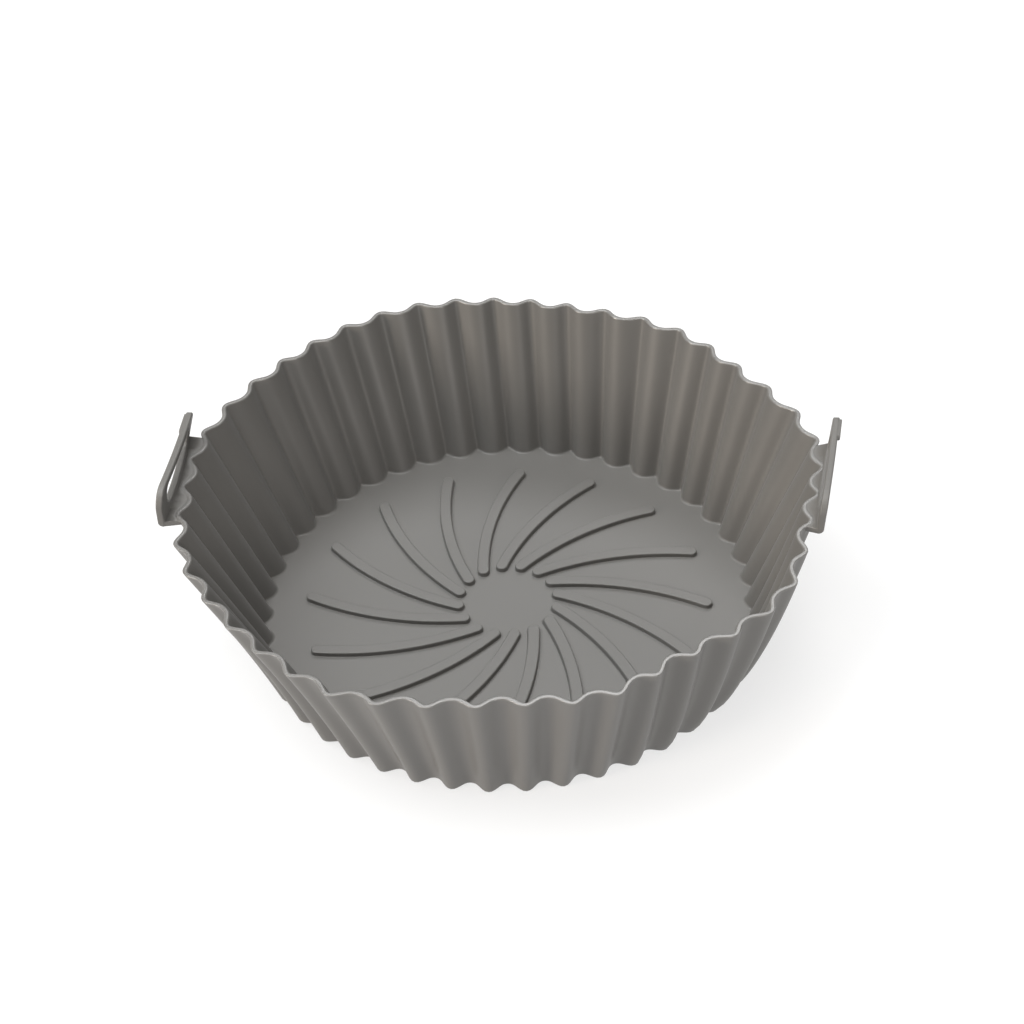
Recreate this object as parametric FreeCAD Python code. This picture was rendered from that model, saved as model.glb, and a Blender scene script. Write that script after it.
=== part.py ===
"""Round fluted air fryer liner, moulded in one piece of silicone rubber.

The axis of the bowl is Z and the flat underside lies on Z = 0. The two ears stand on the
rim at +X and -X. All sizes are in millimetres and all azimuths in degrees from +X.
"""
import FreeCAD, Part
import math
import os
from FreeCAD import Vector

# Bowl: both radii are measured to the outside of the flute crests.
rim_radius = 100.0
base_radius = 81.8
height = 54.0
wall = 1.4
floor = 1.9

# Flutes: the depth runs from crest to valley, and one crest points at -Y. Each bend is
# the radius of the middle of the wall at crests and valleys, with straight flanks between.
flute_count = 45
rim_flute_depth = 3.1
base_flute_depth = 3.4
rim_flute_bend = 3.4
base_flute_bend = 2.4
first_crest_azimuth = -90.0

# Raised swirl ribs on the floor, round a plain middle disc.
rib_count = 16
rib_height = 1.6
rib_width = 4.0
rib_inner_radius = 16.5
rib_outer_radius = 65.0
rib_sweep = 33.3
rib_bend_radius = 95.0
first_rib_azimuth = 11.25

# Ears: a flat shelf level with the rim, and an upright tab with a long finger slot.
shelf_thickness = 2.1
ear_gap = 1.8
tab_thickness = 2.2
tab_length = 41.0
tab_height = 10.3
tab_corner = 3.5
slot_length = 30.0
slot_height = 5.7
slot_sill = 1.9

# Small raised grip pad on the outer face of each tab, above the rear end of the slot.
pad_length = 9.0
pad_height = 1.9
pad_proud = 0.9
pad_end_margin = 3.5

# How far a cutting tool passes the face that it cuts, and solids reach into each other.
OVERLAP = 1.0
# Largest share of the room between two faces that a rounding may take.
ROUNDING_SHARE = 0.98

flute_pitch = 360.0 / flute_count
wall_lean = math.atan2(rim_radius - base_radius, height)
half_wall = wall / math.cos(wall_lean) / 2
tab_face = rim_radius + ear_gap


def polar(radius, azimuth, z):
    """Point at a radius and an azimuth."""
    angle = math.radians(azimuth)
    return Vector(radius * math.cos(angle), radius * math.sin(angle), z)


def toward(centre, point, radius):
    """Point at a radius from the centre, on the way to another point."""
    return centre + (point - centre).normalize() * radius


def between(bottom, top, z):
    """Value at a level of a size that changes evenly from the underside to the rim."""
    return bottom + (top - bottom) * z / height


def flute_wave(z):
    """Crest radius, valley radius and bend of the middle of the wall at a level.

    The bend is limited by the roundest one, which leaves no straight flank.
    """
    crest = between(base_radius, rim_radius, z) - half_wall
    depth = between(base_flute_depth, rim_flute_depth, z)
    valley = crest - depth
    cosine = math.cos(math.radians(flute_pitch / 2))
    reach = crest ** 2 + valley ** 2 - 2 * cosine * crest * valley
    slope = (1 + cosine) * depth
    roundest = (math.sqrt(slope ** 2 + 2 * (1 - cosine) * reach) - slope) / (2 * (1 - cosine))
    bend = between(base_flute_bend, rim_flute_bend, z)
    return crest, valley, min(bend, roundest * ROUNDING_SHARE)


def flank_normal(crest_centre, valley_centre, bend, turn):
    """Unit normal of the straight flank that touches the bends of a crest and a valley."""
    way = valley_centre - crest_centre
    angle = math.atan2(way.y, way.x) - turn * math.acos(2 * bend / way.Length)
    return Vector(math.cos(angle), math.sin(angle), 0)


def fluted_outline(z, shift):
    """Edges of the closed fluted outline, shifted outwards from the middle of the wall."""
    crest, valley, bend = flute_wave(z)
    outside = bend + shift
    inside = bend - shift
    edges = []
    for index in range(flute_count):
        here = first_crest_azimuth + index * flute_pitch
        centre = polar(crest - bend, here, z)
        before = polar(valley + bend, here - flute_pitch / 2, z)
        after = polar(valley + bend, here + flute_pitch / 2, z)
        following = polar(crest - bend, here + flute_pitch, z)
        rising = flank_normal(centre, before, bend, -1)
        falling = flank_normal(centre, after, bend, 1)
        next_rising = flank_normal(following, after, bend, -1)
        crest_start = centre + rising * outside
        crest_end = centre + falling * outside
        valley_start = after - falling * inside
        valley_end = after - next_rising * inside
        next_crest = following + next_rising * outside
        peak = polar(crest + shift, here, z)
        trough = polar(valley + shift, here + flute_pitch / 2, z)
        edges.append(Part.Arc(crest_start, peak, crest_end).toShape())
        edges.append(Part.makeLine(crest_end, valley_start))
        edges.append(Part.Arc(valley_start, trough, valley_end).toShape())
        edges.append(Part.makeLine(valley_end, next_crest))
    return edges


def fluted_solid(bottom, top, shift):
    """Solid with straight-sided flutes between two levels."""
    lower = fluted_outline(bottom, shift)
    upper = fluted_outline(top, shift)
    faces = [Part.makeRuledSurface(below, above) for below, above in zip(lower, upper)]
    faces.append(Part.Face(Part.Wire(lower)))
    faces.append(Part.Face(Part.Wire(upper)))
    shell = Part.makeShell(faces)
    shell.sewShape()
    solid = Part.Solid(shell)
    return solid if solid.Volume > 0 else solid.reversed()


def rib(azimuth):
    """One swirl rib: a flat-topped bar along an arc, with full round ends."""
    low = floor / 2
    start = polar(rib_inner_radius, azimuth, low)
    end = polar(rib_outer_radius, azimuth - rib_sweep, low)
    chord = end - start
    side = Vector(-chord.y, chord.x, 0).normalize()
    middle = (start + end) * 0.5
    centre = middle - side * math.sqrt(rib_bend_radius ** 2 - (chord.Length / 2) ** 2)
    half = rib_width / 2
    inner = [toward(centre, point, rib_bend_radius - half) for point in (start, middle, end)]
    outer = [toward(centre, point, rib_bend_radius + half) for point in (start, middle, end)]
    out = (start - centre).normalize()
    start_tip = start + Vector(-out.y, out.x, 0) * half
    out = (end - centre).normalize()
    end_tip = end - Vector(-out.y, out.x, 0) * half
    outline = Part.Wire([
        Part.Arc(inner[0], inner[1], inner[2]).toShape(),
        Part.Arc(inner[2], end_tip, outer[2]).toShape(),
        Part.Arc(outer[2], outer[1], outer[0]).toShape(),
        Part.Arc(outer[0], start_tip, inner[0]).toShape(),
    ])
    return Part.Face(outline).extrude(Vector(0, 0, floor + rib_height - low))


def rounded_panel(x, thickness, length, low, high):
    """Upright panel square to X and centred on Y = 0, with its ends rounded off."""
    panel = Part.makeBox(thickness, length, high - low, Vector(x, -length / 2, low))
    corners = [edge for edge in panel.Edges if edge.BoundBox.XLength > thickness / 2]
    return panel.makeFillet((high - low) / 2 * ROUNDING_SHARE, corners)


def tab():
    """Upright tab of the ear at +X, with rounded top corners and its slot."""
    low = height - shelf_thickness
    top = height + tab_height
    body = Part.makeBox(tab_thickness, tab_length, top - low, Vector(tab_face, -tab_length / 2, low))
    across = [edge for edge in body.Edges if edge.BoundBox.XLength > tab_thickness / 2]
    body = body.makeFillet(tab_corner, [edge for edge in across if edge.BoundBox.ZMin > height])
    sill = height + slot_sill
    through = tab_thickness + 2 * OVERLAP
    return body.cut(rounded_panel(
        tab_face - OVERLAP, through, slot_length, sill, sill + slot_height))


def shelf():
    """Flat shelf that fills the flutes of the rim and carries the tab."""
    half = tab_length / 2
    inward = math.sqrt(rim_radius ** 2 - half ** 2) - rim_flute_depth - wall
    reach = tab_face + tab_thickness / 2 - inward
    low = height - shelf_thickness
    return Part.makeBox(reach, tab_length, shelf_thickness, Vector(inward, -half, low))


def grip_pad():
    """Raised pad with round ends, midway between the slot and the top of the tab."""
    middle = height + (slot_sill + slot_height + tab_height) / 2
    inner = tab_face + tab_thickness / 2
    reach = tab_thickness / 2 + pad_proud
    pad = rounded_panel(inner, reach, pad_length, middle - pad_height / 2, middle + pad_height / 2)
    pad.translate(Vector(0, tab_length / 2 - pad_end_margin - pad_length / 2, 0))
    return pad


def liner():
    """The one moulded piece."""
    right = tab().fuse([shelf(), grip_pad()])
    left = right.mirror(Vector(0, 0, 0), Vector(1, 0, 0))
    outside = fluted_solid(0, height, half_wall)
    space = fluted_solid(floor, height + OVERLAP, -half_wall)
    body = outside.fuse([right, left]).cut(space)
    pitch = 360.0 / rib_count
    ribs = [rib(first_rib_azimuth + pitch * index) for index in range(rib_count)]
    return body.fuse(ribs).removeSplitter()


def main():
    """Build the liner and write it out."""
    os.makedirs("parts", exist_ok=True)
    piece = liner()
    piece.exportStep("parts/liner.step")
    box = piece.optimalBoundingBox()
    print("valid", piece.isValid(), "solids", len(piece.Solids), "faces", len(piece.Faces))
    print("volume", round(piece.Volume), "sizes", box.XLength, box.YLength, box.ZLength)


main()
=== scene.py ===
"""Dresses the fluted air fryer liner: one soft grey silicone moulding in plain studio light.

Z is the axis of the bowl, the underside lies on Z = 0, and the ears stand on the rim at +X
and -X. Sizes are in millimetres, azimuths in degrees from +X, and meshes are scaled to
metres as the last step.
"""

import logging
import math
from dataclasses import dataclass, field, replace
from enum import Enum

import bmesh
import bpy
from mathutils import Matrix, Vector

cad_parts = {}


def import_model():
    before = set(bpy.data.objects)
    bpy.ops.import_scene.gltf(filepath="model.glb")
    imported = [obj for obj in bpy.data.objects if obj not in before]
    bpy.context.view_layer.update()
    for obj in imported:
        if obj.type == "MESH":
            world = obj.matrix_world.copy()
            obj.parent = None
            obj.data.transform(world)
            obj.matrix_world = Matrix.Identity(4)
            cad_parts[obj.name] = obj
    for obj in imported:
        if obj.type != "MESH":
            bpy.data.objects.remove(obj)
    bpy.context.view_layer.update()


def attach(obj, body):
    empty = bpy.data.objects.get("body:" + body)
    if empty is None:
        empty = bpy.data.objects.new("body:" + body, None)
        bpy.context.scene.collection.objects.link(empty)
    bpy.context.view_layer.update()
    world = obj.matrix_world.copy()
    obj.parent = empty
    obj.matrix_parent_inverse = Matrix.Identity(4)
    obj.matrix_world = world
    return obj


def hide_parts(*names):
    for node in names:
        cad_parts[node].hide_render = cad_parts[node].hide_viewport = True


MM = 0.001
NODE = "liner"
# Material slots: plain silicone, and the glossier rim whose paler colour is a painted highlight.
WALL_FINISH = 0
RIM_GLOSS_AND_PAINTED_HIGHLIGHT = 1
WHITE = (1.0, 1.0, 1.0)
# Largest share of the room between two faces that a rounding may take.
ROUNDING_SHARE = 0.98
# Edges between faces that turn by more than this, in degrees, are sharp.
SHARP_ANGLE = 60.0
# Faces that turn by less than this, in degrees, count as one flat face.
FLAT_ANGLE = 1.0
# Half the side of the square that is scaled to a rectangle.
HALF_SQUARE = 0.5
# Places of a Mix node's sockets when it mixes colours.
MIX_SHARE = 0
MIX_FIRST = 6
MIX_SECOND = 7
MIX_RESULT = 2
LOG = logging.getLogger("liner")

Element = bmesh.types.BMVert | bmesh.types.BMEdge | bmesh.types.BMFace


class Side(Enum):
    """The two ends of the X axis at which an ear stands."""

    RIGHT = 1
    LEFT = -1


class Rounded(Enum):
    """What a rounding takes off: whole edges, or the corners of a flat face."""

    EDGES = "EDGES"
    CORNERS = "VERTICES"


def smooth_step(low: float, high: float, value: float) -> float:
    """Soft step from 0 at low to 1 at high, looked up at a value."""
    share = min(max((value - low) / (high - low), 0.0), 1.0)
    return share * share * (3 - 2 * share)


def blend(start: float, end: float, share: float) -> float:
    """Value at a share of the way from start to end."""
    return start + (end - start) * share


def hump(share: float) -> float:
    """Parabola that is 0 at both ends of a span and 1 in its middle."""
    return 4 * share * (1 - share)


def azimuth_of(point: Vector) -> float:
    """Azimuth of a point, in degrees from +X."""
    return math.degrees(math.atan2(point.y, point.x))


def radial(azimuth: float) -> Vector:
    """Level unit vector that points away from the axis at an azimuth."""
    angle = math.radians(azimuth)
    return Vector((math.cos(angle), math.sin(angle), 0.0))


def sideways(azimuth: float) -> Vector:
    """Level unit vector along the rim at an azimuth, counterclockwise from above."""
    angle = math.radians(azimuth)
    return Vector((-math.sin(angle), math.cos(angle), 0.0))


def round_off(
    bm: bmesh.types.BMesh, geometry: list[Element], radius: float, segments: int,
    what: Rounded = Rounded.EDGES,
) -> None:
    """Rounds edges or corners off.

    Args:
        bm: Mesh that holds them.
        geometry: Edges, or the vertices of corners.
        radius: Radius of the rounding.
        segments: Number of faces or edges across it.
        what: Whether edges or corners are given.
    """
    bmesh.ops.bevel(
        bm, geom=geometry, offset=radius, offset_type="OFFSET", segments=segments,
        affect=what.value, profile=0.5, material=-1, clamp_overlap=False,
    )


def sharp_edges(bm: bmesh.types.BMesh) -> list[bmesh.types.BMEdge]:
    """Edges at which two faces meet squarely."""
    inner = [edge for edge in bm.edges if len(edge.link_faces) == 2]
    return [edge for edge in inner if edge.calc_face_angle() > math.radians(SHARP_ANGLE)]


def cut_across(bm: bmesh.types.BMesh, axis: Vector, places: list[float]) -> None:
    """Cuts faces along planes square to an axis, so that the piece can bend between them.

    Args:
        bm: Mesh to cut.
        axis: Unit vector along the piece.
        places: Distances of the planes along the axis.
    """
    for place in places:
        bmesh.ops.bisect_plane(
            bm, geom=bm.verts[:] + bm.edges[:] + bm.faces[:],
            plane_co=axis * place, plane_no=axis,
        )


def vertices_of(geometry: list[Element]) -> list[bmesh.types.BMVert]:
    """The vertices among new geometry."""
    return [item for item in geometry if isinstance(item, bmesh.types.BMVert)]


@dataclass(frozen=True)
class BowlSizes:
    """Sizes of the fluted bowl, in millimetres.

    Attributes:
        rim_radius: Outside of the flute crests at the rim.
        base_radius: Outside of the flute crests at the underside.
        height: Level of the rim.
        wall: Thickness of the wall.
        floor: Thickness of the floor.
        flute_count: Number of flutes.
        rim_depth: Depth of a flute at the rim.
        base_depth: Depth of a flute at the underside.
        first_crest: Azimuth of one crest.
        crest_pinch: How much narrower the crests are than the valleys, from 0 for alike.
        foot_round: Radius of the outer edge of the underside.
        rim_round: Radius of both edges of the rim.
        floor_fillet: Radius between the floor and the wall.
        plain_radius: Radius inside which floor and underside are plain and flat.
    """

    rim_radius: float = 100.0
    base_radius: float = 81.8
    height: float = 54.0
    wall: float = 1.4
    floor: float = 1.9
    flute_count: int = 45
    rim_depth: float = 3.1
    base_depth: float = 3.4
    first_crest: float = -90.0
    crest_pinch: float = 0.13
    foot_round: float = 1.5
    rim_round: float = 0.4
    floor_fillet: float = 0.7
    plain_radius: float = 75.0


@dataclass(frozen=True)
class FluteWave:
    """The fluted wall as a wave round a cone."""

    sizes: BowlSizes

    @property
    def half_wall(self) -> float:
        """Half the level thickness of the leaning wall."""
        lean = math.atan2(self.sizes.rim_radius - self.sizes.base_radius, self.sizes.height)
        return self.sizes.wall / math.cos(lean) / 2

    def depth(self, level: float) -> float:
        """Depth of the flutes at a level."""
        return blend(self.sizes.base_depth, self.sizes.rim_depth, level / self.sizes.height)

    def mean_radius(self, level: float) -> float:
        """Radius halfway between crests and valleys of the middle of the wall."""
        crest = blend(self.sizes.base_radius, self.sizes.rim_radius, level / self.sizes.height)
        return crest - self.half_wall - self.depth(level) / 2

    def place(self, azimuth: float, level: float, shift: float) -> Vector:
        """Point near the wall.

        Args:
            azimuth: Direction from the axis.
            level: Height of the point.
            shift: Distance outwards from the middle of the wall. Past the inner face it
                counts straight towards the axis, so that the crests stay open.

        Returns:
            The point.
        """
        phase = math.radians(azimuth - self.sizes.first_crest) * self.sizes.flute_count
        swing = self.depth(level) / 2
        pinch = self.sizes.crest_pinch
        wave = math.cos(phase) + pinch * (math.cos(2 * phase) - 1)
        fall = math.sin(phase) + 2 * pinch * math.sin(2 * phase)
        radius = self.mean_radius(level) + swing * wave
        slope = -swing * self.sizes.flute_count * fall
        outward = (radial(azimuth) * radius - sideways(azimuth) * slope).normalized()
        along_normal = max(shift, -self.half_wall)
        point = radial(azimuth) * (radius + shift - along_normal) + outward * along_normal
        point.z = level
        return point


@dataclass(frozen=True)
class Bowl:
    """The bowl: underside, foot, fluted wall, rim, fillet and the outer ring of the floor.

    Attributes:
        sizes: Sizes of the bowl.
        wave: Form of its wall.
        steps_per_flute: Faces round one flute.
        wall_rings: Rings of faces up each side of the wall.
        round_rings: Rings of faces across each rounding.
        rim_tolerance: How far below the rim's rounding its finish and painted highlight may start.
    """

    sizes: BowlSizes
    wave: FluteWave
    steps_per_flute: int = 16
    wall_rings: int = 14
    round_rings: int = 5
    rim_tolerance: float = 0.01

    def arc(self, centre: Vector, radius: float, start: float, end: float) -> list[Vector]:
        """Points of a round edge in the section.

        Args:
            centre: Shift and level of the centre, in X and Z.
            radius: Radius of the edge.
            start: Angle of the first point, in degrees from outwards.
            end: Angle of the last point.

        Returns:
            Points whose X is the shift from the middle of the wall and whose Z is the level.
        """
        shares = [index / self.round_rings for index in range(self.round_rings + 1)]
        angles = [math.radians(blend(start, end, share)) for share in shares]
        return [centre + Vector((math.cos(a), 0, math.sin(a))) * radius for a in angles]

    def rise(self, shift: float, start: float, end: float) -> list[Vector]:
        """Points of a straight face of the wall in the section, without its two ends."""
        shares = [index / self.wall_rings for index in range(1, self.wall_rings)]
        return [Vector((shift, 0, blend(start, end, share))) for share in shares]

    def section(self) -> list[Vector]:
        """Section of the wall, from the underside over the rim to the floor.

        Returns:
            Points whose X is the shift from the middle of the wall and whose Z is the level.
        """
        sizes = self.sizes
        half = self.wave.half_wall
        foot = Vector((half - sizes.foot_round, 0, sizes.foot_round))
        outer_rim = Vector((half - sizes.rim_round, 0, sizes.height - sizes.rim_round))
        inner_rim = Vector((sizes.rim_round - half, 0, sizes.height - sizes.rim_round))
        corner = Vector((-half - sizes.floor_fillet, 0, sizes.floor + sizes.floor_fillet))
        return [
            *self.arc(foot, sizes.foot_round, -90, 0),
            *self.rise(half, foot.z, outer_rim.z),
            *self.arc(outer_rim, sizes.rim_round, 0, 90),
            *self.arc(inner_rim, sizes.rim_round, 90, 180),
            *self.rise(-half, inner_rim.z, corner.z),
            *self.arc(corner, sizes.floor_fillet, 0, -90),
        ]

    def build(self, bm: bmesh.types.BMesh) -> None:
        """Draws the wall out of a disc on the underside, one ring of the section at a time.

        Args:
            bm: Empty mesh that takes the bowl, with a hole where the plain floor will be.
        """
        sizes = self.sizes
        azimuth = bm.verts.layers.float.new("azimuth")
        ring = bmesh.ops.create_circle(
            bm, cap_ends=True, radius=sizes.plain_radius,
            segments=self.steps_per_flute * sizes.flute_count,
        )["verts"]
        for vert in ring:
            vert[azimuth] = azimuth_of(vert.co)
        rim_start = sizes.height - sizes.rim_round - self.rim_tolerance
        edges = bm.edges[:]
        before = Vector()
        for point in self.section():
            edges, verts = self.next_ring(bm, edges)
            for vert in verts:
                vert.co = self.wave.place(vert[azimuth], point.z, point.x)
            # Faces on the rim's rounding get the glossier material, whose paler colour is a
            # painted highlight.
            on_rim = min(before.z, point.z) > rim_start
            for edge in edges:
                edge.link_faces[0].material_index = RIM_GLOSS_AND_PAINTED_HIGHLIGHT if on_rim else WALL_FINISH
            before = point
        edges, verts = self.next_ring(bm, edges)
        for vert in verts:
            vert.co = radial(vert[azimuth]) * sizes.plain_radius + Vector((0, 0, sizes.floor))
        bm.verts.layers.float.remove(azimuth)

    def next_ring(
        self, bm: bmesh.types.BMesh, edges: list[bmesh.types.BMEdge],
    ) -> tuple[list[bmesh.types.BMEdge], list[bmesh.types.BMVert]]:
        """Extrudes a ring of edges.

        Args:
            bm: Mesh that takes the new ring.
            edges: Ring to start from.

        Returns:
            Edges and vertices of the new ring.
        """
        grown = bmesh.ops.extrude_edge_only(bm, edges=edges)["geom"]
        new_edges = [item for item in grown if isinstance(item, bmesh.types.BMEdge)]
        return new_edges, vertices_of(grown)


@dataclass(frozen=True)
class Ribs:
    """The raised swirl ribs on the floor, and the flat floor between them.

    Attributes:
        bowl: Sizes of the bowl.
        count: Number of ribs.
        height: Height above the floor.
        width: Width at the foot.
        top_round: Radius of the upper edges.
        foot_fillet: Radius between a rib and the floor.
        flat_margin: Width of the flat strip round each rib, outside its fillet.
        draft: How far the sides lean in for each millimetre of height.
        inner_radius: Distance of the inner end's middle from the axis.
        outer_radius: Distance of the outer end's middle from the axis.
        sweep: Angle between both ends, seen from the axis, in degrees.
        bend_radius: Radius of the arc along the middle.
        first_azimuth: Azimuth of the first rib's inner end.
        end_segments: Sides of the circle that gives both ends.
        spans: Straight lengths that make up the arc.
        top_segments: Faces across the rounding of the upper edges.
        foot_segments: Faces across the fillet at the foot.
    """

    bowl: BowlSizes
    count: int = 16
    height: float = 1.6
    width: float = 4.0
    top_round: float = 0.45
    foot_fillet: float = 0.2
    flat_margin: float = 0.4
    draft: float = 0.03
    inner_radius: float = 16.5
    outer_radius: float = 65.0
    sweep: float = 33.3
    bend_radius: float = 95.0
    first_azimuth: float = 11.25
    end_segments: int = 28
    spans: int = 16
    top_segments: int = 4
    foot_segments: int = 3

    def chord(self) -> Vector:
        """Straight line between the two ends of the first rib."""
        return self.end_point() - self.start_point()

    def start_point(self) -> Vector:
        """Middle of the inner end of the first rib."""
        return radial(self.first_azimuth) * self.inner_radius

    def end_point(self) -> Vector:
        """Middle of the outer end of the first rib."""
        return radial(self.first_azimuth - self.sweep) * self.outer_radius

    def length(self) -> float:
        """Length of a rib between the middles of its round ends."""
        return 2 * self.bend_radius * math.asin(self.chord().length / 2 / self.bend_radius)

    def bend(self, point: Vector) -> Vector:
        """Bends a straight bar along X to the first rib's arc on the floor.

        Args:
            point: Point of the straight bar.

        Returns:
            Its place on the first rib.
        """
        chord = self.chord()
        side = Vector((-chord.y, chord.x, 0)).normalized()
        middle = (self.start_point() + self.end_point()) / 2
        rise = math.sqrt(self.bend_radius ** 2 - (chord.length / 2) ** 2)
        centre = middle - side * rise
        start = azimuth_of(self.start_point() - centre)
        azimuth = start - math.degrees(point.x / self.bend_radius)
        bent = centre + radial(azimuth) * (self.bend_radius + point.y)
        return bent + Vector((0, 0, point.z))

    def taper(self, point: Vector) -> Vector:
        """Draws a side of a straight bar in towards its spine, the more the higher it lies.

        Args:
            point: Point of the bar.

        Returns:
            The point's new place, which is the old one close to the spine.
        """
        spine = Vector((min(max(point.x, 0.0), self.length()), 0, point.z))
        away = point - spine
        if away.length < self.top_round:
            return point
        return spine + away * (1 - self.draft * (point.z - self.bowl.floor) / away.length)

    def bar(self) -> bmesh.types.BMesh:
        """One rib with round ends, soft upper edges, a filleted foot and a strip of floor.

        Returns:
            The first rib, in its place on the floor.
        """
        bm = bmesh.new()
        flange = self.foot_fillet + self.flat_margin
        half_step = Matrix.Rotation(math.pi / self.end_segments, 4, "Z")
        bmesh.ops.create_circle(
            bm, cap_ends=True, radius=self.width / 2 + flange,
            segments=self.end_segments, matrix=half_step,
        )
        far = [vert for vert in bm.verts if vert.co.x > 0]
        bmesh.ops.translate(bm, verts=far, vec=(self.length(), 0, 0))
        bmesh.ops.translate(bm, verts=bm.verts[:], vec=(0, 0, self.bowl.floor))
        steps = range(self.spans + 1)
        cut_across(bm, Vector((1, 0, 0)), [self.length() * step / self.spans for step in steps])
        crown = bm.faces[:]
        bmesh.ops.inset_region(
            bm, faces=crown, thickness=flange, use_even_offset=True, use_boundary=True,
        )
        foot = [edge for edge in bm.edges if sum(face in crown for face in edge.link_faces) == 1]
        raised = bmesh.ops.extrude_face_region(bm, geom=crown)["geom"]
        bmesh.ops.delete(bm, geom=crown, context="FACES")
        bmesh.ops.translate(bm, verts=vertices_of(raised), vec=(0, 0, self.height))
        for vert in vertices_of(raised):
            vert.co = self.taper(vert.co)
        top_faces = {item for item in raised if isinstance(item, bmesh.types.BMFace)}
        inner = [edge for edge in bm.edges if len(edge.link_faces) == 2]
        top_edges = [edge for edge in inner if len(top_faces & set(edge.link_faces)) == 1]
        round_off(bm, top_edges, self.top_round, self.top_segments)
        foot_edges = [edge for edge in foot if edge.is_valid]
        round_off(bm, foot_edges, self.foot_fillet, self.foot_segments)
        for vert in bm.verts:
            vert.co = self.bend(vert.co)
        return bm

    def build(self, bm: bmesh.types.BMesh) -> None:
        """Sets all ribs on the floor and fills the flat floor between them.

        Args:
            bm: Mesh of the bowl, whose only hole is the plain floor.
        """
        bar = self.bar()
        mesh = bpy.data.meshes.new("rib")
        for index in range(self.count):
            bar.to_mesh(mesh)
            mesh.transform(Matrix.Rotation(math.tau * index / self.count, 4, "Z"))
            bm.from_mesh(mesh)
        bar.free()
        bpy.data.meshes.remove(mesh)
        rims = [edge for edge in bm.edges if edge.is_boundary]
        bmesh.ops.triangle_fill(bm, edges=rims, use_beauty=True, normal=(0, 0, 1))


@dataclass(frozen=True)
class Corners:
    """Radii of the corners of an upright rectangle, in millimetres.

    Attributes:
        low: Both lower corners.
        front: Upper corner towards -Y.
        back: Upper corner towards +Y.
    """

    low: float
    front: float
    back: float

    @classmethod
    def round_ended(cls, height: float) -> "Corners":
        """Corners that make both ends of a rectangle of this height round."""
        radius = height / 2 * ROUNDING_SHARE
        return cls(radius, radius, radius)

    def at(self, offset: Vector) -> float:
        """Radius of one corner.

        Args:
            offset: Way from the middle of the rectangle to the corner.

        Returns:
            The corner's radius.
        """
        if offset.z < 0:
            return self.low
        return self.front if offset.y < 0 else self.back


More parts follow.
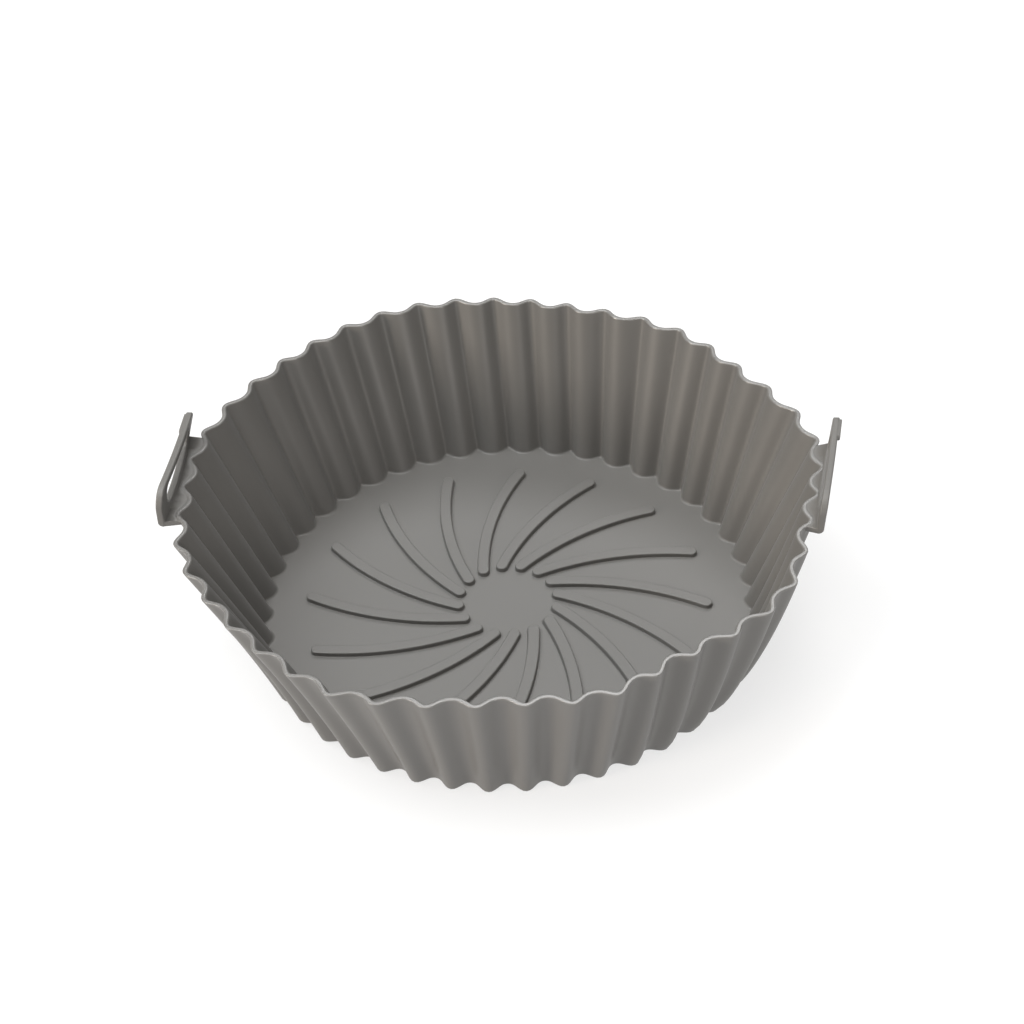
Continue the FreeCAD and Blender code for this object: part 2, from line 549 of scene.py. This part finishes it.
@dataclass(frozen=True)
class Ear:
    """One ear: a flat shelf level with the rim, an upright slotted tab and its grip pad.

    Attributes:
        side: Side of the bowl on which it stands.
        bowl: Sizes of the bowl.
        wave: Form of the wall that the shelf grows out of.
        shelf_thickness: Thickness of the shelf.
        shelf_sink: How far its faces lie inside those of rim and tab.
        shelf_back_reach: Extra length of the shelf's back end along the wall, in degrees.
        gap: Room between the rim and the tab.
        thickness: Thickness of the tab.
        length: Length of the tab.
        height: Height of the tab above the rim.
        front_corner: Radius of the tab's upper corner towards -Y.
        back_corner: Radius of the tab's upper corner towards +Y.
        foot_round: Radius of the outer edge under the tab.
        edge_round: Radius of the tab's other edges and of the shelf's ends.
        slot_length: Length of the finger slot.
        slot_height: Height of the finger slot.
        slot_sill: Level of the slot's lower edge above the rim.
        pad_length: Length of the grip pad.
        pad_height: Height of the grip pad.
        pad_proud: How far the pad stands out of the tab.
        pad_end_margin: Distance of the pad from the tab's back end.
        bend_step: Longest straight length of a bent tab.
        shelf_steps: Faces along the shelf.
        corner_segments: Edges round each upright corner.
        edge_segments: Faces across each rounded edge.
    """

    side: Side
    bowl: BowlSizes
    wave: FluteWave
    shelf_thickness: float = 2.1
    shelf_sink: float = 0.06
    shelf_back_reach: float = 0.5
    gap: float = 1.8
    thickness: float = 2.2
    length: float = 41.0
    height: float = 10.3
    front_corner: float = 6.0
    back_corner: float = 1.4
    foot_round: float = 1.6
    edge_round: float = 0.5
    slot_length: float = 30.0
    slot_height: float = 6.4
    slot_sill: float = 1.8
    pad_length: float = 9.0
    pad_height: float = 1.9
    pad_proud: float = 0.75
    pad_end_margin: float = 1.1
    bend_step: float = 3.0
    shelf_steps: int = 90
    corner_segments: int = 8
    edge_segments: int = 4

    @property
    def face(self) -> float:
        """Distance of the inner face of the tab from the axis."""
        return self.bowl.rim_radius + self.gap

    def rounded_face(
        self, bm: bmesh.types.BMesh, middle: Vector, length: float, height: float,
        radii: Corners,
    ) -> None:
        """Adds an upright rectangle square to X with rounded corners.

        Args:
            bm: Mesh that takes the outline.
            middle: Middle of the rectangle.
            length: Size along Y.
            height: Size along Z.
            radii: Radii of its corners.
        """
        upright = Matrix.Rotation(math.pi / 2, 4, "Y")
        size = Matrix.Diagonal((height, length, 1, 1))
        place = Matrix.Translation(middle) @ upright @ size
        verts = bmesh.ops.create_grid(
            bm, x_segments=1, y_segments=1, size=HALF_SQUARE, matrix=place,
        )["verts"]
        wanted = [(vert, radii.at(vert.co - middle)) for vert in verts]
        for vert, radius in wanted:
            if radius > 0:
                round_off(bm, [vert], radius, self.corner_segments, Rounded.CORNERS)

    def thicken(self, bm: bmesh.types.BMesh, direction: Vector) -> None:
        """Turns a flat sheet into a closed plate.

        Args:
            bm: Mesh that holds only the sheet.
            direction: Way from the sheet to the plate's other face.
        """
        sheet = bm.faces[:]
        grown = bmesh.ops.extrude_face_region(bm, geom=sheet, use_keep_orig=True)["geom"]
        bmesh.ops.translate(bm, verts=vertices_of(grown), vec=direction)
        bmesh.ops.recalc_face_normals(bm, faces=bm.faces[:])

    def tab(self) -> bmesh.types.BMesh:
        """Upright tab with its slot, rounded at the foot and along its edges.

        Returns:
            The closed tab, cut into spans along which it can bend.
        """
        bm = bmesh.new()
        low = self.bowl.height - self.shelf_thickness
        top = self.bowl.height + self.height
        middle = Vector((self.face, 0, (low + top) / 2))
        slot = Vector((self.face, 0, self.bowl.height + self.slot_sill + self.slot_height / 2))
        corners = Corners(0, self.front_corner, self.back_corner)
        self.rounded_face(bm, middle, self.length, top - low, corners)
        slot_ends = Corners.round_ended(self.slot_height)
        self.rounded_face(bm, slot, self.slot_length, self.slot_height, slot_ends)
        bmesh.ops.delete(bm, geom=bm.faces[:], context="FACES_ONLY")
        bmesh.ops.triangle_fill(bm, edges=bm.edges[:], use_beauty=True, normal=(1, 0, 0))
        bmesh.ops.dissolve_limit(
            bm, angle_limit=math.radians(FLAT_ANGLE), verts=bm.verts[:], edges=bm.edges[:],
        )
        self.thicken(bm, Vector((self.thickness, 0, 0)))
        lowest = [vert for vert in bm.verts if vert.co.z < low + self.edge_round]
        outer = [vert for vert in lowest if vert.co.x > self.face + self.edge_round]
        foot = [edge for edge in bm.edges if all(vert in outer for vert in edge.verts)]
        round_off(bm, foot, self.foot_round, self.corner_segments)
        round_off(bm, sharp_edges(bm), self.edge_round, self.edge_segments)
        spans = int(self.length / self.bend_step)
        shares = [index / spans for index in range(1, spans)]
        cut_across(bm, Vector((0, 1, 0)), [self.length * (share - 0.5) for share in shares])
        return bm

    def shelf(self) -> bmesh.types.BMesh:
        """Flat shelf from the middle of the fluted wall to the middle of the tab.

        Returns:
            The closed shelf, with its two ends rounded off.
        """
        bm = bmesh.new()
        top = self.bowl.height - self.shelf_sink
        low = self.bowl.height - self.shelf_thickness + self.shelf_sink
        half = self.length / 2 - self.shelf_sink
        reach = math.degrees(math.asin(half / self.wave.mean_radius(top)))
        back = reach + self.shelf_back_reach
        shares = [index / self.shelf_steps for index in range(self.shelf_steps + 1)]
        azimuths = [blend(-reach, back, share) for share in shares]
        line = [bm.verts.new(self.wave.place(azimuth, top, 0)) for azimuth in azimuths]
        edges = [bm.edges.new(pair) for pair in zip(line, line[1:])]
        grown = bmesh.ops.extrude_edge_only(bm, edges=edges)["geom"]
        outer = self.face + self.thickness / 2
        for vert in vertices_of(grown):
            share = (azimuth_of(vert.co) + reach) / (reach + back)
            vert.co = Vector((outer, blend(-half, half, share), top))
        self.thicken(bm, Vector((0, 0, low - top)))
        for vert in bm.verts:
            if vert.co.z < (low + top) / 2 and vert.co.x < self.face:
                vert.co = self.wave.place(azimuth_of(vert.co), low, 0)
        ends = [
            edge for edge in sharp_edges(bm)
            if abs(edge.verts[0].co.x - edge.verts[1].co.x) > self.gap
        ]
        round_off(bm, ends, self.edge_round, self.edge_segments)
        return bm

    def pad(self) -> bmesh.types.BMesh:
        """Small raised pad on the outer face, above the rear end of the slot.

        Returns:
            The closed pad, which starts inside the tab.
        """
        bm = bmesh.new()
        slot_top = self.slot_sill + self.slot_height
        level = self.bowl.height + (slot_top + self.height) / 2
        middle = Vector((self.face + self.thickness / 2, 0, level))
        middle.y = self.length / 2 - self.pad_end_margin - self.pad_length / 2
        pad_ends = Corners.round_ended(self.pad_height)
        self.rounded_face(bm, middle, self.pad_length, self.pad_height, pad_ends)
        self.thicken(bm, Vector((self.thickness / 2 + self.pad_proud, 0, 0)))
        round_off(bm, sharp_edges(bm), self.pad_proud / 2, self.edge_segments)
        return bm

    def build(self) -> bpy.types.Object:
        """Joins tab, shelf and pad into one closed solid on the ear's side.

        Returns:
            The whole ear.
        """
        tab = solid_object("ear_tab", self.tab())
        shelf = solid_object("ear_shelf", self.shelf())
        pad = solid_object("ear_pad", self.pad())
        whole = united(united(tab, shelf), pad)
        if self.side is Side.LEFT:
            whole.data.transform(Matrix.Scale(-1, 4, (1, 0, 0)))
            whole.data.flip_normals()
        return whole


def solid_object(name: str, bm: bmesh.types.BMesh) -> bpy.types.Object:
    """Turns a bmesh into an object in the scene, with all normals outwards.

    Args:
        name: Name of the object and its mesh.
        bm: Finished bmesh, which is freed.

    Returns:
        The new object.
    """
    bmesh.ops.recalc_face_normals(bm, faces=bm.faces[:])
    mesh = bpy.data.meshes.new(name)
    bm.to_mesh(mesh)
    bm.free()
    made = bpy.data.objects.new(name, mesh)
    bpy.context.scene.collection.objects.link(made)
    return made


def united(base: bpy.types.Object, addition: bpy.types.Object) -> bpy.types.Object:
    """Union of two closed objects.

    Args:
        base: Object that takes the union.
        addition: Object that is added and then removed.

    Returns:
        The base object with its new mesh.
    """
    union = base.modifiers.new("union", "BOOLEAN")
    union.operation = "UNION"
    union.solver = "EXACT"
    union.object = addition
    bpy.context.view_layer.update()
    view = bpy.context.evaluated_depsgraph_get()
    mesh = bpy.data.meshes.new_from_object(base.evaluated_get(view))
    base.modifiers.clear()
    old = base.data
    base.data = mesh
    bpy.data.meshes.remove(old)
    spent = addition.data
    bpy.data.objects.remove(addition)
    bpy.data.meshes.remove(spent)
    return base


@dataclass(frozen=True)
class RimSway:
    """Where the soft rim has settled at one azimuth, in millimetres from the round form.

    Attributes:
        azimuth: Direction from the axis.
        outward: Shift away from the axis.
        along: Shift along the rim, counterclockwise from above.
    """

    azimuth: float
    outward: float
    along: float


@dataclass(frozen=True)
class EarSet:
    """How one soft ear stands, in millimetres from its upright place.

    Attributes:
        foot_out: Shift of its foot away from the axis at its front end, middle and back end.
        lean_in: How far its top leans towards the axis at the same three places.
        front_slide: Shift of its front end along Y.
        back_slide: Shift of its back end along Y.
        back_rise: How much higher the top of its back end stands.
    """

    foot_out: tuple[float, float, float]
    lean_in: tuple[float, float, float]
    front_slide: float
    back_slide: float
    back_rise: float = 0.0


@dataclass(frozen=True)
class WallBow:
    """Where the soft wall bows between its foot and its rim, in degrees and millimetres.

    Attributes:
        azimuth: Direction of its middle from the axis.
        reach: How far it spreads to each side.
        outward: How far it bows out where it bows most.
        skew: Power of the height that sets where that is, from 1 for halfway up to lower down.
    """

    azimuth: float
    reach: float
    outward: float
    skew: float = 1.0

    def at(self, azimuth: float, share: float) -> float:
        """Bow at one place of the wall.

        Args:
            azimuth: Direction of the place from the axis.
            share: How far up the wall it lies, from 0 to 1.

        Returns:
            How far the wall bows out there.
        """
        off = abs((azimuth - self.azimuth + 180) % 360 - 180)
        return self.outward * (1 - smooth_step(0, self.reach, off)) * hump(share ** self.skew)


@dataclass(frozen=True)
class SoftForm:
    """The gentle bends of the soft wall and ears, set to how the real ones lie.

    Attributes:
        bowl: Sizes of the bowl.
        ear: One of its ears.
        slot_give: How much of an ear's lean happens at its slot, where it is weakest.
        ear_margin: How far inside the rim and past an ear's ends it takes the wall along.
        ear_drop: How far below the rim it takes the wall along.
        lookup_steps: Places for each degree at which the sway of the rim is worked out.
        rim: Sway of the rim, in order round it.
        bows: Bows of the wall.
        ears: How each ear stands.
    """

    bowl: BowlSizes
    ear: Ear
    slot_give: float = 0.6
    ear_margin: float = 1.0
    ear_drop: float = 3.0
    lookup_steps: int = 20
    rim: tuple[RimSway, ...] = (
        RimSway(-174, 1.4, 1.4),
        RimSway(-160, 3.5, 0.5),
        RimSway(-144, 1.9, 0.2),
        RimSway(-128, 2.2, 0.0),
        RimSway(-113, 3.6, 0.0),
        RimSway(-98, -0.4, -0.2),
        RimSway(-84, -2.2, 0.2),
        RimSway(-68, 0.2, -0.6),
        RimSway(-52, -3.2, -1.6),
        RimSway(-30, 1.1, -0.9),
        RimSway(-10, -2.4, 0.4),
        RimSway(14, 2.3, -1.6),
        RimSway(36, -2.5, 2.6),
        RimSway(54, -0.7, 3.7),
        RimSway(74, -2.0, 4.7),
        RimSway(92, 0.3, 3.4),
        RimSway(114, 3.5, 1.5),
        RimSway(144, 1.3, 0.6),
        RimSway(166, 2.2, 2.2),
    )
    bows: tuple[WallBow, ...] = (
        WallBow(-36, 44, 2.2, 0.7),
        WallBow(-136, 36, -0.9),
    )
    ears: dict[Side, EarSet] = field(default_factory=lambda: {
        Side.RIGHT: EarSet((-4.9, -3.1, 0.6), (-0.6, -1.8, -0.7), 0.0, 0.9, 0.5),
        Side.LEFT: EarSet((0.9, -0.1, 1.3), (0.3, 0.8, 2.7), -2.2, -0.3),
    })

    def rim_shift(self, azimuth: float) -> tuple[float, float]:
        """Smooth shift of the rim.

        Args:
            azimuth: Direction from the axis.

        Returns:
            Shift outwards and shift along the rim.
        """
        points = self.rim
        count = len(points)
        first = points[0].azimuth
        turned = (azimuth - first) % 360
        index = max(i for i in range(count) if (points[i].azimuth - first) % 360 <= turned)
        near = [points[(index + step) % count] for step in (-1, 0, 1, 2)]
        span = (near[2].azimuth - near[1].azimuth) % 360
        share = (turned - (near[1].azimuth - first) % 360) / span
        return (
            self.through([point.outward for point in near], share),
            self.through([point.along for point in near], share),
        )

    def through(self, values: list[float], share: float) -> float:
        """Smooth curve through four values, between the second and the third.

        Args:
            values: The four values in order.
            share: How far the place lies from the second to the third.

        Returns:
            The curve's value there.
        """
        before, start, end, after = values
        rise_in = (end - before) / 2
        rise_out = (after - start) / 2
        cubic = 2 * start - 2 * end + rise_in + rise_out
        square = -3 * start + 3 * end - 2 * rise_in - rise_out
        return ((cubic * share + square) * share + rise_in) * share + start

    def ear_shift(self, point: Vector) -> Vector:
        """Shift of a point on an ear.

        Args:
            point: Point of the upright ear.

        Returns:
            Way to its place on the settled ear.
        """
        side = Side.RIGHT if point.x > 0 else Side.LEFT
        pose = self.ears[side]
        share = point.y / self.ear.length + 0.5
        above = max(point.z - self.bowl.height, 0.0)
        even = above / self.ear.height
        at_slot = smooth_step(self.ear.slot_sill, self.ear.slot_sill + self.ear.slot_height, above)
        lift = blend(even, at_slot, self.slot_give)
        out = self.curved(pose.foot_out, share) - self.curved(pose.lean_in, share) * lift
        rise = pose.back_rise * even * smooth_step(0.5, 1.0, share)
        return Vector((out * side.value, blend(pose.front_slide, pose.back_slide, share), rise))

    def curved(self, values: tuple[float, float, float], share: float) -> float:
        """Smooth curve from the first value through the middle one to the last."""
        first, middle, last = values
        return blend(first, last, share) + (middle - (first + last) / 2) * hump(share)

    def on_ear(self, point: Vector) -> float:
        """How much of an ear's shift a point takes.

        Args:
            point: Point of the liner before it settles.

        Returns:
            A share from 0, on the bowl alone, to 1, on an ear.
        """
        past_end = abs(point.y) > self.ear.length / 2 + self.ear_margin
        if past_end or point.z < self.bowl.height - self.ear_drop:
            return 0.0
        rim_edge = math.sqrt(self.bowl.rim_radius ** 2 - point.y ** 2)
        return smooth_step(rim_edge - self.ear_margin, self.ear.face, abs(point.x))

    def settle(self, bm: bmesh.types.BMesh) -> None:
        """Moves every vertex to its place on the settled liner.

        Args:
            bm: Mesh of the whole liner, in millimetres.
        """
        sways: dict[int, tuple[float, float]] = {}
        wall_height = self.bowl.height - self.bowl.floor
        for vert in bm.verts:
            azimuth = azimuth_of(vert.co)
            key = round(azimuth * self.lookup_steps)
            if key not in sways:
                sways[key] = self.rim_shift(key / self.lookup_steps)
            outward, along = sways[key]
            share = min(max(vert.co.z - self.bowl.floor, 0.0) / wall_height, 1.0)
            bowed = outward * share + sum(bow.at(azimuth, share) for bow in self.bows)
            shift = radial(azimuth) * bowed + sideways(azimuth) * along * share
            vert.co += shift.lerp(self.ear_shift(vert.co), self.on_ear(vert.co))


@dataclass(frozen=True)
class Socket:
    """A shader socket that takes part in Python expressions by adding Math nodes."""

    tree: bpy.types.NodeTree
    link: bpy.types.NodeSocket

    def math(self, operation: str, left: "Socket | float", right: "Socket | float") -> "Socket":
        """Result of a new Math node."""
        node = add_node(self.tree, "ShaderNodeMath", {"operation": operation}, {0: left, 1: right})
        return Socket(self.tree, node.outputs[0])

    def __add__(self, other: "Socket | float") -> "Socket":
        """Sum of two values."""
        return self.math("ADD", self, other)

    __radd__ = __add__

    def __sub__(self, other: "Socket | float") -> "Socket":
        """Difference of two values."""
        return self.math("SUBTRACT", self, other)

    def __rsub__(self, other: float) -> "Socket":
        """Difference with the number first, as in 1 - mask."""
        return self.math("SUBTRACT", other, self)

    def __mul__(self, other: "Socket | float") -> "Socket":
        """Product of two values."""
        return self.math("MULTIPLY", self, other)

    __rmul__ = __mul__


def add_node(
    tree: bpy.types.NodeTree, kind: str, settings: dict[str, object],
    inputs: dict[int | str, object],
) -> bpy.types.Node:
    """Adds one shader node.

    Args:
        tree: Node tree that takes the node.
        kind: Type of the node.
        settings: Properties of the node, which are set first.
        inputs: Values or links of its sockets, by name or place.

    Returns:
        The new node.
    """
    node = tree.nodes.new(kind)
    for name, value in settings.items():
        setattr(node, name, value)
    for place, value in inputs.items():
        if isinstance(value, Socket):
            tree.links.new(value.link, node.inputs[place])
        else:
            node.inputs[place].default_value = value
    return node


@dataclass(frozen=True)
class SiliconeFinish:
    """Matt grey silicone with a faint soft sheen and the fine grain of its mould.

    Attributes:
        name: Name of the material.
        shade: Its darker tone.
        pale_shade: Its paler tone, in soft clouds.
        roughness: Its middle roughness.
        roughness_swing: How much rougher the roughest places are than the smoothest.
        specular: Strength of its reflections.
        sheen: Strength of the soft sheen.
        sheen_roughness: How widely the sheen spreads.
        cloud_size: Size of a cloud in metres.
        cloud_share: Share of the clouds in the change of tone. The grain makes the rest.
        grain_size: Size of a grain in metres.
        grain_depth: Depth of the grain in metres.
        grain_strength: Strength of the grain's relief.
        noise_detail: Finer layers in clouds and grain.
        noise_roughness: Strength of each finer layer.
        noise_middle: Middle value of the noise.
    """

    name: str = "grey_silicone"
    shade: tuple[float, float, float] = (0.0985, 0.0955, 0.0905)
    pale_shade: tuple[float, float, float] = (0.1065, 0.1035, 0.098)
    roughness: float = 0.48
    roughness_swing: float = 0.08
    specular: float = 0.42
    sheen: float = 0.05
    sheen_roughness: float = 0.5
    cloud_size: float = 22 * MM
    cloud_share: float = 0.7
    grain_size: float = 0.35 * MM
    grain_depth: float = 0.012 * MM
    grain_strength: float = 0.5
    noise_detail: float = 2.0
    noise_roughness: float = 0.5
    noise_middle: float = 0.5

    def noise(self, tree: bpy.types.NodeTree, where: Socket, size: float) -> Socket:
        """Soft noise over the object.

        Args:
            tree: Node tree that takes the noise.
            where: Coordinates.
            size: Size of one cloud or grain in metres.

        Returns:
            The noise, from 0 to 1.
        """
        node = add_node(tree, "ShaderNodeTexNoise", {"noise_dimensions": "3D"}, {
            "Vector": where,
            "Scale": 1 / size,
            "Detail": self.noise_detail,
            "Roughness": self.noise_roughness,
        })
        return Socket(tree, node.outputs[0])

    def material(self) -> bpy.types.Material:
        """The finish as a node material.

        Returns:
            The new material.
        """
        made = bpy.data.materials.new(self.name)
        made.use_nodes = True
        tree = made.node_tree
        tree.nodes.clear()
        place = add_node(tree, "ShaderNodeTexCoord", {}, {})
        where = Socket(tree, place.outputs["Object"])
        clouds = self.noise(tree, where, self.cloud_size)
        grain = self.noise(tree, where, self.grain_size)
        mix = add_node(tree, "ShaderNodeMix", {"data_type": "RGBA"}, {
            MIX_SHARE: clouds * self.cloud_share + grain * (1 - self.cloud_share),
            MIX_FIRST: (*self.shade, 1),
            MIX_SECOND: (*self.pale_shade, 1),
        })
        bump = add_node(tree, "ShaderNodeBump", {}, {
            "Height": grain,
            "Strength": self.grain_strength,
            "Distance": self.grain_depth,
        })
        shader = add_node(tree, "ShaderNodeBsdfPrincipled", {}, {
            "Base Color": Socket(tree, mix.outputs[MIX_RESULT]),
            "Roughness": self.roughness + self.roughness_swing * (clouds - self.noise_middle),
            "Specular IOR Level": self.specular,
            "Sheen Weight": self.sheen,
            "Sheen Roughness": self.sheen_roughness,
            "Normal": Socket(tree, bump.outputs[0]),
        })
        surface = Socket(tree, shader.outputs[0])
        end = add_node(tree, "ShaderNodeOutputMaterial", {}, {"Surface": surface})
        end.is_active_output = True
        return made


@dataclass(frozen=True)
class Liner:
    """The whole moulding as one closed piece.

    Attributes:
        bowl: Sizes of the bowl.
        finish: Finish of the whole piece but its rim.
        rim_gloss_and_painted_highlight: Smoother finish of the rim's rounding, paler as a painted
            highlight.
        name: Name of the piece.
        left_pad_proud: How far the left ear's pad stands out of its tab.
        weld: Distance within which vertices are merged.
        normal_weight: Weight of large faces when the shading is smoothed.
    """

    bowl: BowlSizes = BowlSizes()
    finish: SiliconeFinish = SiliconeFinish()
    # Its lower roughness and stronger reflections are real gloss; its paler shade is a painted
    # highlight.
    rim_gloss_and_painted_highlight: SiliconeFinish = SiliconeFinish(
        name="grey_silicone_rim_gloss_and_painted_highlight", roughness=0.29, specular=0.66,
        shade=(0.112, 0.109, 0.104), pale_shade=(0.12, 0.117, 0.1115),
    )
    name: str = "liner_moulding"
    left_pad_proud: float = 0.4
    weld: float = 0.002
    normal_weight: int = 60

    def build(self) -> bpy.types.Object:
        """Builds the piece, settles it and dresses it.

        Returns:
            The finished piece.
        """
        wave = FluteWave(self.bowl)
        bm = bmesh.new()
        Bowl(self.bowl, wave).build(bm)
        Ribs(self.bowl).build(bm)
        piece = solid_object(self.name, bm)
        for finish in (self.finish, self.rim_gloss_and_painted_highlight):
            piece.data.materials.append(finish.material())
        right = Ear(Side.RIGHT, self.bowl, wave)
        left = replace(right, side=Side.LEFT, pad_proud=self.left_pad_proud)
        for ear in (right, left):
            piece = united(piece, ear.build())
        bm = bmesh.new()
        bm.from_mesh(piece.data)
        bmesh.ops.remove_doubles(bm, verts=bm.verts[:], dist=self.weld)
        SoftForm(self.bowl, right).settle(bm)
        bmesh.ops.scale(bm, vec=(MM, MM, MM), verts=bm.verts[:])
        for face in bm.faces:
            face.smooth = True
        bm.to_mesh(piece.data)
        bm.free()
        normals = piece.modifiers.new("weighted normals", "WEIGHTED_NORMAL")
        normals.weight = self.normal_weight
        return piece


@dataclass(frozen=True)
class Lamp:
    """One far soft lamp that shines on the whole studio.

    Attributes:
        name: Name of the lamp.
        azimuth: Direction from the axis of the bowl, in degrees.
        elevation: Angle above the floor, in degrees.
        strength: Light that it gives, in watts for each square metre.
        colour: Tint of its light.
        spread: How wide it looks from the liner, in degrees.
    """

    name: str
    azimuth: float
    elevation: float
    strength: float
    colour: tuple[float, float, float]
    spread: float = 32.0

    def direction(self) -> Vector:
        """Unit vector from the liner to the lamp."""
        angle = math.radians(self.elevation)
        return radial(self.azimuth) * math.cos(angle) + Vector((0, 0, math.sin(angle)))


@dataclass(frozen=True)
class Studio:
    """Plain pale floor that is white by its glow, soft light from all sides, and the camera.

    Attributes:
        floor_size: Side of the floor in metres.
        floor_shade: Grey of the floor.
        floor_glow: Light that the floor gives by itself.
        floor_roughness: Roughness of the floor.
        floor_specular: Strength of the floor's reflections.
        sky: Strength of the even sky.
        lamps: The lamps.
        lens: Focal length in millimetres.
        sensor: Width of the camera's sensor in millimetres.
        near_clip: Nearest distance that the camera sees, in metres.
        distance: Distance of the camera from the origin, in metres.
        elevation: Angle of the camera above the floor.
        swing: Turn of its place round the axis of the bowl.
        roll: Turn round its line of sight.
        pan: Turn to the side.
        tilt: Turn upwards.
    """

    floor_size: float = 60.0
    floor_shade: float = 0.23
    floor_glow: float = 0.7
    floor_roughness: float = 0.9
    floor_specular: float = 0.1
    sky: float = 0.1
    lamps: tuple[Lamp, ...] = (
        Lamp("left_high", 180, 60, 2.45, (0.96, 0.99, 1.0)),
        Lamp("top", 90, 85, 1.2, WHITE),
        Lamp("back", 90, 51, 0.9, WHITE, 20),
        Lamp("front_high", -85, 68, 1.15, (1.0, 0.97, 0.93)),
        Lamp("right_high", -5, 30, 0.4, (1.0, 0.98, 0.95)),
        Lamp("front_left_low", -147, 16, 2.5, (1.0, 0.89, 0.78), 18),
        Lamp("right_low", -60, 16, 1.0, (1.0, 0.96, 0.92), 18),
    )
    lens: float = 70.83
    sensor: float = 36.0
    near_clip: float = 0.01
    distance: float = 0.66603
    elevation: float = 43.344
    swing: float = 6.265
    roll: float = -3.115
    pan: float = -0.102
    tilt: float = 2.670

    def floor(self) -> bpy.types.Object:
        """Wide pale floor under the liner.

        Returns:
            The floor.
        """
        bm = bmesh.new()
        bmesh.ops.create_grid(bm, x_segments=1, y_segments=1, size=self.floor_size / 2)
        made = solid_object("pale_floor", bm)
        material = bpy.data.materials.new("pale_floor")
        material.use_nodes = True
        inputs = material.node_tree.nodes["Principled BSDF"].inputs
        inputs["Base Color"].default_value = (*(self.floor_shade,) * 3, 1)
        inputs["Roughness"].default_value = self.floor_roughness
        inputs["Specular IOR Level"].default_value = self.floor_specular
        inputs["Emission Color"].default_value = (*WHITE, 1)
        inputs["Emission Strength"].default_value = self.floor_glow
        made.data.materials.append(material)
        return made

    def light(self, lamp: Lamp) -> None:
        """Hangs one lamp.

        Args:
            lamp: Place, strength, tint and width of the lamp.
        """
        data = bpy.data.lights.new(lamp.name, "SUN")
        data.angle = math.radians(lamp.spread)
        data.energy = lamp.strength
        data.color = lamp.colour
        made = bpy.data.objects.new(lamp.name, data)
        made.location = lamp.direction()
        made.rotation_euler = (-lamp.direction()).to_track_quat("-Z", "Y").to_euler()
        bpy.context.scene.collection.objects.link(made)

    def world(self) -> None:
        """Even white sky."""
        world = bpy.data.worlds.new("studio")
        world.use_nodes = True
        background = world.node_tree.nodes["Background"]
        background.inputs["Color"].default_value = (*WHITE, 1)
        background.inputs["Strength"].default_value = self.sky
        bpy.context.scene.world = world

    def camera(self) -> None:
        """Camera at the photograph's viewing angle."""
        data = bpy.data.cameras.new("camera")
        data.lens = self.lens
        data.sensor_width = self.sensor
        data.clip_start = self.near_clip
        made = bpy.data.objects.new("camera", data)
        angle = math.radians(self.elevation)
        place = Vector((0, -math.cos(angle), math.sin(angle))) * self.distance
        turns = (
            Matrix.Rotation(math.pi / 2 - angle, 4, "X")
            @ Matrix.Rotation(math.radians(self.roll), 4, "Z")
            @ Matrix.Rotation(math.radians(self.pan), 4, "Y")
            @ Matrix.Rotation(math.radians(self.tilt), 4, "X")
        )
        swing = Matrix.Rotation(math.radians(self.swing), 4, "Z")
        made.matrix_world = swing @ Matrix.Translation(place) @ turns
        bpy.context.scene.collection.objects.link(made)
        bpy.context.scene.camera = made

    def build(self) -> None:
        """Sets up floor, light and camera."""
        self.floor()
        self.world()
        for lamp in self.lamps:
            self.light(lamp)
        self.camera()
        bpy.context.scene.view_settings.view_transform = "Standard"


def main() -> None:
    """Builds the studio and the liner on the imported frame."""
    logging.basicConfig(level=logging.INFO, format="%(message)s")
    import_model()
    Studio().build()
    piece = Liner().build()
    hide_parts(NODE)
    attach(piece, "root")
    mesh = piece.data
    LOG.info("%s: %d vertices, %d faces", piece.name, len(mesh.vertices), len(mesh.polygons))


if __name__ == "__main__":
    main()
